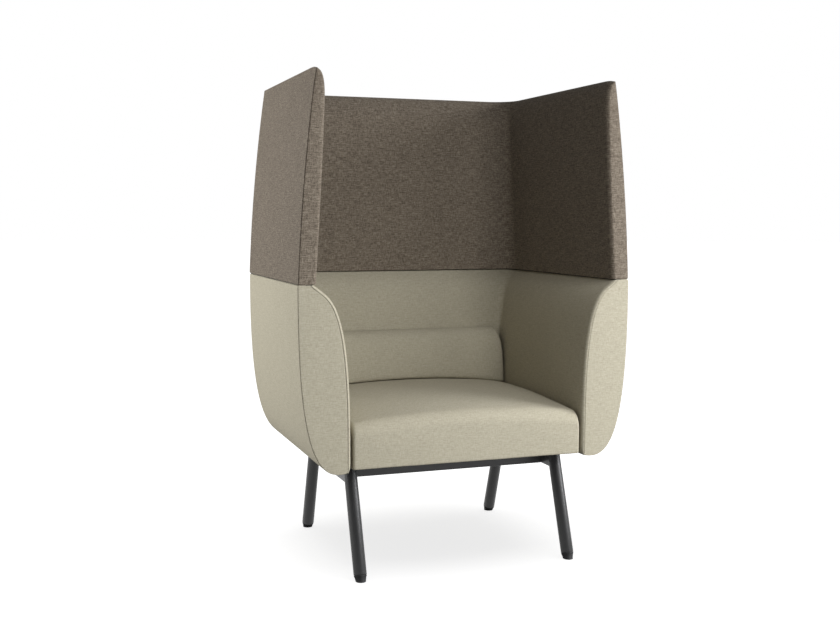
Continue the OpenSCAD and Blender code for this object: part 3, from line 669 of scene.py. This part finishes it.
def cloth(name, low, mid, high, sheen, pitch, spread):
    """Plain weave of melange yarn. Every yarn has its own tone, which wanders along it in slubs.
    spread is how far from the middle tone, in the sum of the noises, the low and high ones lie."""
    material, shader, spot = finish_of(name, Specular_IOR_Level=0.25, Sheen_Weight=sheen,
                                       Sheen_Roughness=0.4, Sheen_Tint=(1.0, 0.93, 0.83, 1.0))
    flat = spot.node("ShaderNodeUVMap", uv_map="cloth")
    u, v, _ = flat.axes()
    warp, weft = u / pitch, v / pitch
    over = (warp.floor() + weft.floor()).odd()
    warp_round = 1.0 - (warp.part() - 0.5) ** 2.0 * 3.6
    weft_round = 1.0 - (weft.part() - 0.5) ** 2.0 * 3.6
    height = over.mix(warp_round * (0.55 + 0.45 * weft_round), weft_round * (0.55 + 0.45 * warp_round))
    warp_tone = flat.place(warp.floor() * 0.731, v * 60.0).noise(rough=0.6)
    weft_tone = flat.place(weft.floor() * 0.619 + 70.0, u * 60.0).noise(rough=0.6)
    yarn = over.mix(warp_tone, weft_tone)
    streak = flat.place(u * 90.0, v * 500.0).noise(detail=1)
    slub = flat.place(u * 26.0, v * 400.0, 5.0).noise(detail=1)
    thread = flat.place(u * 480.0, v * 75.0, 9.0).noise(detail=1)
    fleck = flat.place(u * 330.0, v * 330.0, 4.0).noise(detail=1)
    fibre = flat.place(u * 2400.0, v * 2400.0).noise()
    cloud = flat.place(u * 9.0, v * 9.0, 2.0).noise()
    blend = (yarn * 0.24 + streak * 0.22 + slub * 0.16 + thread * 0.18 + fleck * 0.12 + fibre * 0.05
             + cloud * 0.03)
    middle = 0.48  # what the blend is on average
    # The colour is a little darker where the weave lies low between the yarns: painted shade in its
    # hollows.
    into(shader,
         Base_Color=(blend - 0.05 * (1.0 - height)).colour(
             [(middle - spread, low), (middle, mid), (middle + spread, high)]),
         Roughness=0.86 + fleck * 0.12,
         Normal=relief(height * 0.8 + fibre * 0.2, 0.0003, 0.7))
    return material


greige = cloth("greige_melange", (0.325, 0.298, 0.223), (0.405, 0.374, 0.286), (0.485, 0.453, 0.354),
               sheen=0.07, pitch=0.0015, spread=0.118)

FRONT_Y, SHELL_TOP = -0.357, 0.7508
CENTRE_IN, CENTRE_OUT = Vector((0.319, 0.203)), Vector((0.325, 0.232))
INNER_X, SEAM_X, KEEL_X, KEEL_Z, KEEL_SIDE = 0.321, 0.3285, 0.349, 0.280, 0.293
JOINT_IN, JOINT_R, SWELL, FLARE, HEM = 0.019, 0.0045, 0.0005, 0.0026, 0.0008
keel = cubic((KEEL_X, KEEL_Z), (0.334, KEEL_Z), (INNER_X, 0.2815), (INNER_X, KEEL_SIDE), 60)
shell_outer = cubic((0.450, SHELL_TOP), (0.4525, 0.430), (0.4245, KEEL_Z), (KEEL_X, KEEL_Z))
shell_outer += [p for p in keel[1:] if p.x >= SEAM_X]


def shell_share(spot):
    """The outer centre outside and the inner one inside; under the keel it goes from one to the other."""
    return min(max((spot.x - INNER_X) / (KEEL_X - INNER_X), 0.0), 1.0)


# Front stations give (distance along a row's way, depth behind the front plane, turn of its inset).
# A cover's outer edge goes into the seam: it lies that far inwards and that far back.
CREASE_GAP = 0.005
CREASE_LINE = [(0.0046, 0.0056), (0.0026, 0.0034), (0.0010, 0.0011), (0.0003, 0.0007), (0.0, 0.0010),
               (0.0, 0.0022)]
CREASE = [lambda row, off=off, deep=deep: (off, deep, 0.0) for off, deep in CREASE_LINE]
AT_JOINT, AT_KEEL = (JOINT_R, JOINT_IN, (0, 0)), (HEM, 0.0, (0, 0.004))
rows = rows_of(shell_outer, 1, shell_share, AT_JOINT, AT_KEEL, FLARE)
shell_outside = tailor("shell_cover_outside", swept(rows, path(CREASE, CREASE_GAP)), greige)
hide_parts("left_arm_cover", "right_arm_cover", "back_cover")


# ---------------------------------------------------------------- shell cover inside
# The same cloth inside, over softer foam. At the front it rolls round the arm's edge
# to a seam with the front panel; at the foot it meets the outside along the keel.

STRAIGHT_Z, SEAM_IN = 0.3763, SEAM_X - INNER_X
CENTRE_TOP, TIGHTER_Z = Vector((0.361, 0.245)), 0.62
LEVEL_Z, LEVEL_RUN, FOOT_Z, QUARTER = 0.712, 0.034, 0.300, math.pi / 2
shell_inner = cubic((0.4115, SHELL_TOP), (0.379, 0.7179), (INNER_X, 0.7356), (INNER_X, STRAIGHT_Z))
shell_inner += [Vector((INNER_X, STRAIGHT_Z + (KEEL_SIDE - STRAIGHT_Z) * i / 8)) for i in range(1, 9)]
shell_inner += [p for p in reversed(keel[:-1]) if p.x <= SEAM_X]


def inner_centre(spot):
    """The inside corners grow tighter towards the joint, where they meet the screen's."""
    return CENTRE_IN.lerp(CENTRE_TOP, max((spot.y - TIGHTER_Z) / (SHELL_TOP - TIGHTER_Z), 0.0) ** 1.5)


def inner_share(spot):
    """The inner centre, but under the keel as the outside has it."""
    return shell_share(spot) if spot.y < KEEL_SIDE else 0.0


def to_seam(spot, inward):
    """Way and distance from the inner face to the front seam; it is level at the joint and at the foot."""
    if spot.y < FOOT_Z:
        return Vector((1, 0)), max(SEAM_X - spot.x, 0.0)
    level = min(max((spot.y - LEVEL_Z) / LEVEL_RUN, 0.0), 1.0)
    way = inward.lerp(Vector((1, 0)), level * level * (3 - 2 * level)).normalized()
    return way, SEAM_IN / max(way.dot(inward), 0.5)


def roll_on(depth):
    """Stations of the roll from the front plane onto the inner face; depth is its length over its width."""
    def station(a):
        return lambda row: (row.roll * (1 - math.cos(a)), row.roll * depth * (1 - math.sin(a)), a)
    return [station(math.radians(a)) for a in (78, 66, 54, 42, 30, 18, 6, 0)]


# The edge comes out of the seam, that far short of it and that far back, and goes flat to the roll.
SEAM_LINE, SHELL_ROLL = [(0.0003, 0.0040), (0.0003, 0.0012), (0.0004, 0.0006)], 0.86
WRAP = [lambda row, short=short, deep=deep: (row.reach - short, deep, QUARTER) for short, deep in SEAM_LINE]
WRAP += [lambda row: (row.reach - min(0.0009, row.reach * 0.12), 0.0002, QUARTER),
         lambda row: (row.roll, 0.0, QUARTER)]
WRAP += roll_on(1.25)
INSIDE_JOINT = (0.002, JOINT_IN, (0, 0))
rows = rows_of(shell_inner, -1, inner_share, INSIDE_JOINT, AT_KEEL, 0.0, to_seam, inner_centre, SHELL_ROLL)
shell_inside = tailor("shell_cover_inside", swept(rows, path(WRAP, 0.015), outwards=False), greige)
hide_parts("left_arm_pad", "right_arm_pad", "back_pad")


# ---------------------------------------------------------------- arm front panels
# Two crescent panels of the same cloth over thin foam, sewn in between the two covers.
# Their edges roll into the seams, and the middle stands a little proud.

PANEL_ROLL, PANEL_PUFF, PUFF_FADE = 0.0006, 0.0002, 0.014
PANEL_GAP, PANEL_OVER, PANEL_TUCK = 0.0011, 0.0004, (0.0012, 0.0030)
PANEL_END, PANEL_ROWS, ROW_EASE = 0.994, 64, 1.25
PANEL_COLUMNS = (0.0, 0.012, 0.03, 0.06, 0.12, 0.22, 0.36, 0.5, 0.64, 0.78, 0.88, 0.94, 0.97, 0.988, 1.0)


def front_panel(name, side):
    """A panel between both seam lines, extruded row by row from the joint down to the keel."""
    outer_run, inner_run = lengths(shell_outer), lengths(shell_inner)
    bm = bmesh.new()

    def edge_points(t):
        """Both seam lines at a share t of the way down."""
        a, way = at(shell_outer, outer_run, outer_run[-1] * t)
        b, back = at(shell_inner, inner_run, inner_run[-1] * t)
        seam_way, reach = to_seam(b, Vector((-back.y, back.x)))
        outer = a + Vector((way.y, -way.x)) * (PANEL_GAP - SWELL) + Vector((FLARE, 0))
        return outer, b + seam_way * (reach + PANEL_OVER)

    outline = [edge_points(i / 300) for i in range(301)]
    rim = [p for p, _ in outline] + [q for _, q in reversed(outline)]
    rim.append(rim[0])

    def from_rim(spot):
        """Distance to the panel's outline."""
        best = 1.0
        for a, b in zip(rim, rim[1:]):
            way = b - a
            span = way.length_squared
            t = min(max((spot - a).dot(way) / span, 0), 1) if span > 0 else 0
            best = min(best, (a + way * t - spot).length)
        return best

    def sunk(spot):
        """How far the cloth lies behind the front plane."""
        d = from_rim(spot)
        edge = PANEL_ROLL - math.sqrt(PANEL_ROLL**2 - (PANEL_ROLL - min(d, PANEL_ROLL)) ** 2)
        return edge * 0.6 + PANEL_PUFF * math.exp(-d / PUFF_FADE) - SWELL

    share = bm.verts.layers.float.new("share")
    line = []
    for c in PANEL_COLUMNS:
        vert = bm.verts.new((0, 0, 0))
        vert[share] = c
        line.append(vert)
    edges = [bm.edges.new(pair) for pair in zip(line, line[1:])]
    corner = edge_points(0)[0] - Vector((JOINT_R, JOINT_R))

    def set_row(verts, t):
        a, b = edge_points(t)
        for vert in verts:
            spot = a.lerp(b, vert[share])
            over = spot - corner
            if min(over) > 0 and over.length > JOINT_R:  # round the outer corner at the joint
                spot = corner + over * (JOINT_R / over.length)
            vert.co = (side * spot.x, FRONT_Y + sunk(spot), spot.y)

    set_row(line, 0)
    for i in [0.12, 0.25, 0.45] + list(range(1, PANEL_ROWS + 1)):  # closer together at the joint
        t = PANEL_END * (1 - (1 - i / PANEL_ROWS) ** ROW_EASE)
        verts, edges = extruded(bm, edges)
        set_row(verts, t)
    border = [e for e in bm.edges if e.is_boundary]
    for deep in PANEL_TUCK:
        verts, border = extruded(bm, border)
        for vert in verts:
            vert.co.y += deep
            if vert[share] < 0.001:
                vert.co.x -= side * deep
    bmesh.ops.recalc_face_normals(bm, faces=bm.faces)
    if sum(f.normal.y * f.calc_area() for f in bm.faces) > 0:
        bmesh.ops.reverse_faces(bm, faces=bm.faces)
    weave = bm.loops.layers.uv.new("cloth")
    for face in bm.faces:
        for loop in face.loops:
            loop[weave].uv = (loop.vert.co.x, loop.vert.co.z)
    return tailor(name, bm, greige)


for word, side in SIDES:
    panel = front_panel(f"{word}_arm_front_panel", side)
    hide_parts(f"{word}_arm_front")


# ---------------------------------------------------------------- screen cover outside
# Brown tweed over the screen's outside, from one front edge round the back to the other.
# It is sewn to the inside along the ridge and down both front edges.

tweed = cloth("brown_tweed", (0.083, 0.066, 0.049), (0.149, 0.122, 0.094), (0.238, 0.203, 0.158),
              sheen=0.16, pitch=0.0021, spread=0.075)
SCREEN_Z, RIDGE_Z, RIDGE_X, SCREEN_FLARE, RIDGE_R = 0.7522, 1.2762, 0.402, 0.0016, 0.0009
RIDGE_DROP, RIDGE_TIP, RIDGE_BAND = 0.0055, 0.042, 0.050
screen_outer = quadratic((RIDGE_X, RIDGE_Z), (0.43944, 1.0155), (0.450, SCREEN_Z))


def softened(bm):
    """Rounds the front ends of the ridge."""
    for vert in bm.verts:
        near = 1 - (vert.co.y - FRONT_Y) / RIDGE_TIP
        high = (vert.co.z - RIDGE_Z + RIDGE_BAND) / RIDGE_BAND
        if near > 0 and high > 0:
            vert.co.z -= RIDGE_DROP * near * near * high * high
    return bm


rows = rows_of(screen_outer, 1, lambda spot: 1.0, (RIDGE_R, 0.0, (-0.0002, -0.004)), AT_JOINT, SCREEN_FLARE)
screen_outside = tailor("screen_cover_outside", softened(swept(rows, path(CREASE, CREASE_GAP))), tweed)


# ---------------------------------------------------------------- screen cover inside
# The same tweed inside the screen and round its front edges, over softer foam.
# The back leans more than the wings, so its ridge is as thin as theirs.

RIDGE_ROUND_W, RIDGE_ROUND_H, RIDGE_GAP, SQUARE = 0.022, 0.069, 0.0008, 2 / 2.45
LOW_Z = RIDGE_Z - RIDGE_ROUND_H
SCREEN_FOOT_X, WAIST_X, WAIST_Z = 0.4045, 0.3883, 0.981
screen_inner = []
for i in range(61):
    a = QUARTER * (1 - i / 60)
    x = RIDGE_X - RIDGE_GAP - RIDGE_ROUND_W * math.cos(a) ** SQUARE
    screen_inner.append(Vector((x, LOW_Z + RIDGE_ROUND_H * math.sin(a) ** SQUARE)))
screen_inner += quadratic(screen_inner[-1], (WAIST_X, WAIST_Z), (SCREEN_FOOT_X, SCREEN_Z))[1:]


def x_at(line, height):
    """Where a line that comes down passes a height, or None if it doesn't."""
    for a, b in zip(line, line[1:]):
        if b.y <= height <= a.y:
            return a.x + (b.x - a.x) * (a.y - height) / max(a.y - b.y, 1e-9)


def to_crease(spot, inward):
    """Way and distance from the inner face to the outer crease, at the same height."""
    x = x_at(screen_outer, spot.y)
    return Vector((1, 0)), RIDGE_GAP if x is None else max(x - spot.x, RIDGE_GAP)


def inside_share(spot):
    """The inner centre, going over to the outer one in the rounded part of the ridge."""
    rise = max(spot.y - LOW_Z, 0) / RIDGE_ROUND_H
    return rise * rise * (3 - 2 * rise)


# The front edge comes out of the crease: that far short of it, at least at that share of the reach,
# and that far back. Then it swells a little forwards before it rolls onto the inner face.
CREASE_OUT = [(0.0058, 0.4, 0.0046), (0.0038, 0.5, 0.0026), (0.0012, 0.6, 0.0008), (0.0009, 0.6, 0.0002),
              (0.0018, 0.62, -0.0002)]
STRIP_WIDE, STRIP_SWELL = 0.65, 0.0004


def strip_at(short, least, deep):
    return lambda row: (max(row.reach - short, row.reach * least), deep, QUARTER)


def swell_at(k):
    return lambda row: (row.roll + max(row.reach * STRIP_WIDE - row.roll, 0) * k, -STRIP_SWELL * k, QUARTER)


STRIP = [strip_at(*place) for place in CREASE_OUT]
STRIP += [swell_at(k) for k in (0.9, 0.6, 0.3, 0.0)] + roll_on(1.4)
rows = rows_of(screen_inner, -1, inside_share, (RIDGE_R, 0.0, (0.0002, -0.004)), INSIDE_JOINT, SCREEN_FLARE,
               to_crease, lambda spot: CENTRE_TOP)
made = softened(swept(rows, path(STRIP, 0.018), outwards=False))
screen_inside = tailor("screen_cover_inside", made, tweed)
screen_lit.objects.link(screen_inside)
outer_lit.objects.link(screen_inside)
outer_lit.collection_objects[-1].light_linking.link_state = "EXCLUDE"
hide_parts("left_screen_cover", "right_screen_cover", "back_screen_cover")


# ---------------------------------------------------------------- seat cushion
# A thick foam seat in the greige cloth. The top is crowned, the front edge is a big soft roll,
# and the front face hangs almost flat; its sides stand just clear of the arms.

SEAT_HALF, SEAT_Z, SEAT_EDGE_Z, SEAT_REAR = 0.3158, 0.2872, 0.4156, 0.2035
SEAT_CROWN, SEAT_FALL, FALL_Y, REAR_FALL, REAR_Y = 0.020, 0.018, -0.020, 0.0080, 0.050
SEAT_FRONT_R, SEAT_SIDE_R, SEAT_CORNER_R, SEAT_REAR_R, SEAT_FOOT_R = 0.037, 0.011, 0.006, 0.012, 0.004
FOOT_TURN, REAR_TURN = (0.0, 0.5, 1.05, 1.57), (0.5, 1.05, 1.57)


def seat_top(x, y):
    """Height of the seat's top: crowned across, and falling to the front and a little to the rear."""
    to_front = max((FALL_Y - y) / (FALL_Y - FRONT_Y), 0.0)
    to_rear = max((y - REAR_Y) / (SEAT_REAR - REAR_Y), 0.0)
    fallen = SEAT_EDGE_Z - SEAT_FALL * to_front**1.8 - REAR_FALL * to_rear**1.5
    return fallen + SEAT_CROWN * (1 - (x / SEAT_HALF) ** 2)


def end_in(gap, radius):
    """How far a rounded end is drawn in at a distance from it."""
    return 0.0 if gap >= radius else radius - math.sqrt(radius**2 - (radius - gap) ** 2)


def across(half, radius, ends=6, middle=30):
    """Stations across a form, closer together at its rounded ends."""
    turn = [radius * (1 - math.cos(math.radians(90 * i / ends))) for i in range(ends)]
    side = [half - t for t in turn]
    flat = half - radius
    return [-x for x in side] + [-flat + 2 * flat * i / middle for i in range(middle + 1)] + side[::-1]


def ringed(stations, ring):
    """Extrudes a closed ring of points, given per station, from end to end, and closes both ends."""
    bm = bmesh.new()
    index = bm.verts.layers.int.new("row")
    points = ring(stations[0])
    loop = []
    for i, spot in enumerate(points):
        vert = bm.verts.new((stations[0], *spot))
        vert[index] = i
        loop.append(vert)
    edges = [bm.edges.new(pair) for pair in zip(loop, loop[1:] + loop[:1])]
    ends = edges[:]
    for x in stations[1:]:
        points = ring(x)
        verts, edges = extruded(bm, edges)
        for vert in verts:
            vert.co = (x, *points[vert[index]])
    bmesh.ops.holes_fill(bm, edges=ends + edges)
    bmesh.ops.recalc_face_normals(bm, faces=bm.faces)
    return bm


def seat_ring(x):
    """The seat's section: along the underside to the front, up, over the top and down at the rear."""
    corner, side = end_in(SEAT_HALF - abs(x), SEAT_CORNER_R), end_in(SEAT_HALF - abs(x), SEAT_SIDE_R)
    y0, y1, z0 = FRONT_Y + corner, SEAT_REAR - corner * 0.5, SEAT_Z + corner * 0.3
    top = seat_top(x, y0 + SEAT_FRONT_R) - side
    ring = [(y1 - (y1 - y0 - SEAT_FOOT_R - 0.002) * i / 24, z0) for i in range(25)]
    for a in FOOT_TURN:
        ring.append((y0 + SEAT_FOOT_R * (1 - math.sin(a)), z0 + SEAT_FOOT_R * (1 - math.cos(a))))
    ring += [(y0, z0 + SEAT_FOOT_R + (top - SEAT_FRONT_R - z0 - SEAT_FOOT_R) * i / 6) for i in range(1, 7)]
    for i in range(1, 11):
        a = math.radians(9 * i)
        ring.append((y0 + SEAT_FRONT_R * (1 - math.cos(a)), top - SEAT_FRONT_R * (1 - math.sin(a))))
    for i in range(1, 25):
        y = y0 + SEAT_FRONT_R + (y1 - SEAT_REAR_R - y0 - SEAT_FRONT_R) * i / 24
        ring.append((y, seat_top(x, y) - side))
    top = seat_top(x, y1) - side
    for a in REAR_TURN:
        ring.append((y1 - SEAT_REAR_R * (1 - math.sin(a)), top - SEAT_REAR_R * (1 - math.cos(a))))
    ring += [(y1, top - SEAT_REAR_R + (z0 + SEAT_FOOT_R - top + SEAT_REAR_R) * i / 6) for i in range(1, 7)]
    return ring


def box_cloth(made, slip=0.0):
    """Lays the cloth's own coordinates on a cushion: one length over front and top, pieces at the sides."""
    mesh = made.data
    weave = mesh.uv_layers.new(name="cloth")
    for face in mesh.polygons:
        sideways = abs(face.normal.x) > 0.75
        for loop in face.loop_indices:
            x, y, z = mesh.vertices[mesh.loops[loop].vertex_index].co
            weave.data[loop].uv = (y, z + slip) if sideways else (x, y + z + slip)


def apply_all(made):
    """Puts the result of a piece's modifiers into its mesh."""
    ready = made.evaluated_get(bpy.context.evaluated_depsgraph_get())
    mesh = bpy.data.meshes.new_from_object(ready)
    made.modifiers.clear()
    old = made.data
    made.data = mesh
    mesh.name = old.name
    bpy.data.meshes.remove(old)


PRESSURE, MOST_MOVE, FRAMES = 4.0, 0.0025, 16


def puffed(made, voxel):
    """Blows up an evenly remeshed copy of a cushion as cloth, and moves the cushion's points as
    the nearest points of the copy moved, up to a limit. Its edges and seams stay sharp that way."""
    trial = bpy.data.objects.new("trial", made.data.copy())
    bpy.context.scene.collection.objects.link(trial)
    even = trial.modifiers.new("even", "REMESH")
    even.mode = "VOXEL"
    even.voxel_size = voxel
    apply_all(trial)
    start = [v.co.copy() for v in trial.data.vertices]
    sim = trial.modifiers.new("air", "CLOTH")
    sim.settings.use_pressure = True
    sim.settings.uniform_pressure_force = PRESSURE
    sim.settings.effector_weights.gravity = 0
    sim.settings.quality = 5
    sim.settings.mass = 0.3
    sim.settings.tension_stiffness = sim.settings.compression_stiffness = 30
    sim.settings.shear_stiffness = 15
    sim.settings.bending_stiffness = 4
    sim.point_cache.frame_start, sim.point_cache.frame_end = 1, FRAMES
    for frame_number in range(1, FRAMES + 1):
        bpy.context.scene.frame_set(frame_number)
    apply_all(trial)
    bpy.context.scene.frame_set(1)
    moves, near = [], KDTree(len(start))
    for i, (vert, was) in enumerate(zip(trial.data.vertices, start)):
        move = vert.co - was
        moves.append(move * min(1.0, MOST_MOVE / max(move.length, 1e-9)))
        near.insert(was, i)
    near.balance()
    for vert in made.data.vertices:
        total, weight = Vector(), 0.0
        for _, i, gap in near.find_n(vert.co, 8):
            share = 1 / (gap + voxel / 4)
            total += moves[i] * share
            weight += share
        vert.co += total / weight
    blown = trial.data
    bpy.data.objects.remove(trial)
    bpy.data.meshes.remove(blown)


def finished(made):
    """Gives a cushion its one subdivision."""
    finer = made.modifiers.new("smooth", "SUBSURF")
    finer.levels = finer.render_levels = 1
    apply_all(made)


seat = piece("seat_cushion_soft", ringed(across(SEAT_HALF, SEAT_SIDE_R), seat_ring), greige)
puffed(seat, 0.008)
for vert in seat.data.vertices:
    vert.co.z = max(vert.co.z, SEAT_Z)
finished(seat)
box_cloth(seat)
lining = cloth("black_lining", (0.010, 0.010, 0.010), (0.016, 0.016, 0.016), (0.026, 0.026, 0.026),
               sheen=0.05, pitch=0.0012, spread=0.08)
seat.data.materials.append(lining)
for face in seat.data.polygons:
    if face.normal.z < -0.8:
        face.material_index = 1
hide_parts("seat_cushion")


# ---------------------------------------------------------------- lumbar cushion
# A soft roll in the same cloth that lies on the seat and leans on the back.
# Its upper corners are round, and its face is fuller towards the foot.

LUMBAR_T, LUMBAR_H, LUMBAR_R, LUMBAR_HALF, LUMBAR_SIDE_R = 0.066, 0.1648, 0.026, 0.3192, 0.009
LUMBAR_TOP, CLEAR = SEAT_EDGE_Z + LUMBAR_H, 0.0003


def back_y(z):
    """Front of the back's inner cover at a height."""
    x = x_at(shell_inner, z)
    return CENTRE_IN.y + (0.002 if x is None else x - CENTRE_IN.x)


LUMBAR_FRONT = back_y(SEAT_EDGE_Z) - LUMBAR_T


def lumbar_ring(x):
    """The roll's section: up its face, down the back's cover and forwards along the seat."""
    corner, side = end_in(LUMBAR_HALF - abs(x), LUMBAR_R), end_in(LUMBAR_HALF - abs(x), LUMBAR_SIDE_R)
    z0, z1 = seat_top(x, LUMBAR_FRONT) + CLEAR, LUMBAR_TOP - corner
    foot = Vector((LUMBAR_FRONT + 0.004 + side, z0))
    handle = Vector((LUMBAR_FRONT + 0.003 + corner / 5 + side, LUMBAR_TOP + LUMBAR_H * 0.05 - 2.8 * corner))
    head = Vector((back_y(z1) - 2 * CLEAR, z1))
    ring = [tuple(p) for p in quadratic(foot, handle, head, 22)]
    ring += [(back_y(z) - CLEAR, z) for z in [z1 + (z0 - z1) * i / 14 for i in range(1, 15)]]
    ring += [(back_y(z0) + (foot.x - back_y(z0)) * i / 5, z0) for i in range(1, 5)]
    return ring


lumbar = piece("lumbar_cushion_soft", ringed(across(LUMBAR_HALF, LUMBAR_R, 8), lumbar_ring), greige)
puffed(lumbar, 0.006)
finished(lumbar)
box_cloth(lumbar, 0.31)
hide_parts("lumbar_cushion")
